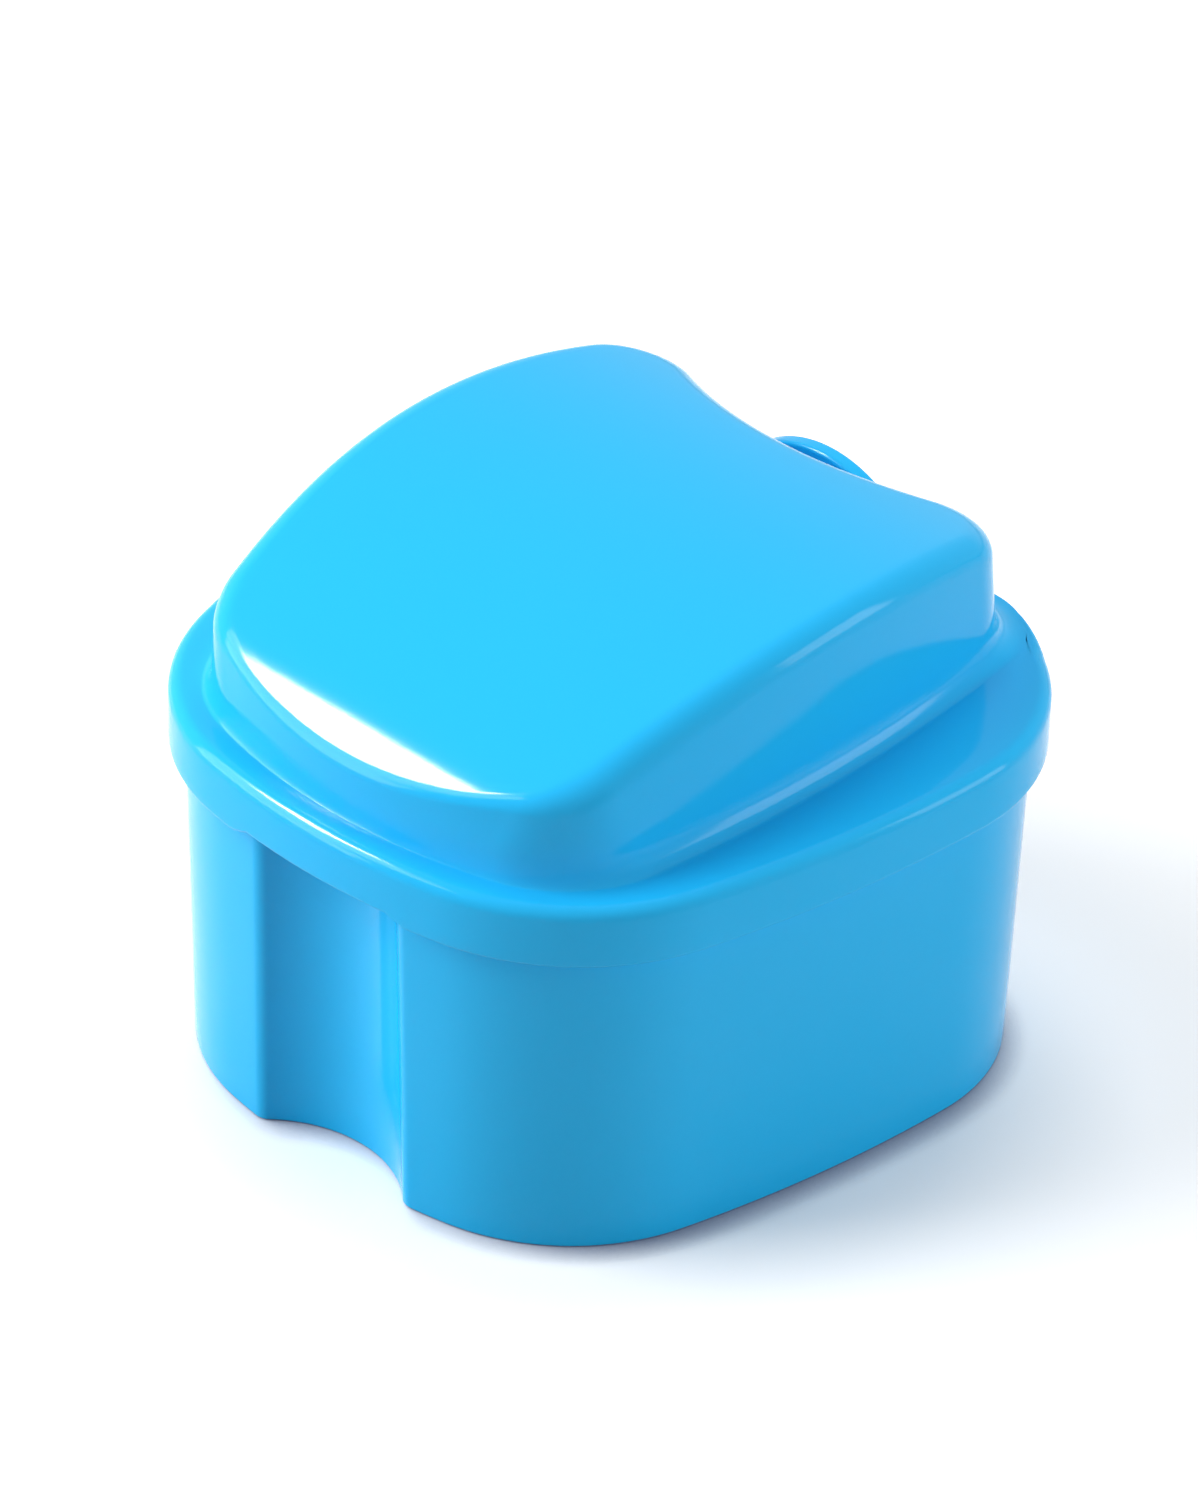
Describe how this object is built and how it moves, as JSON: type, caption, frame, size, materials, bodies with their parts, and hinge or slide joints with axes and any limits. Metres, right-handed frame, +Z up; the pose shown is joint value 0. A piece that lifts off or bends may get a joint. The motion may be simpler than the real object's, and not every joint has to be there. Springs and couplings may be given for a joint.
{
  "type": "retainer cleaning case",
  "caption": "Arch-shaped soaking tub with a press-on lid and a lift-out strainer whose rounded handle stands up through the lid, for cleaning a dental retainer.",
  "frame": {"origin": "on the surface that the case stands on, under the middle of its footprint box", "axes": "+Z up, -Y towards the finger channel at the front, +X to the right seen from the front"},
  "size_m": [0.0874, 0.0852, 0.0653],
  "materials": {
    "tub_plastic": "gloss",
    "strainer_plastic": "satin",
    "lid_plastic": "gloss"
  },
  "bodies": {
    "tub": {"soaking_tub": "tub_plastic"},
    "strainer": {"strainer_basket": "strainer_plastic"},
    "lid": {"press_on_lid": "lid_plastic"}
  },
  "joints": [
    {"name": "strainer_lift", "type": "slide", "parent": "tub", "child": "strainer", "axis": [0, 0, 1], "range_m": [0, 0.05]},
    {"name": "lid_pull_off", "type": "slide", "parent": "strainer", "child": "lid", "axis": [0, 0, 1], "range_m": [0, 0.035]}
  ]
}
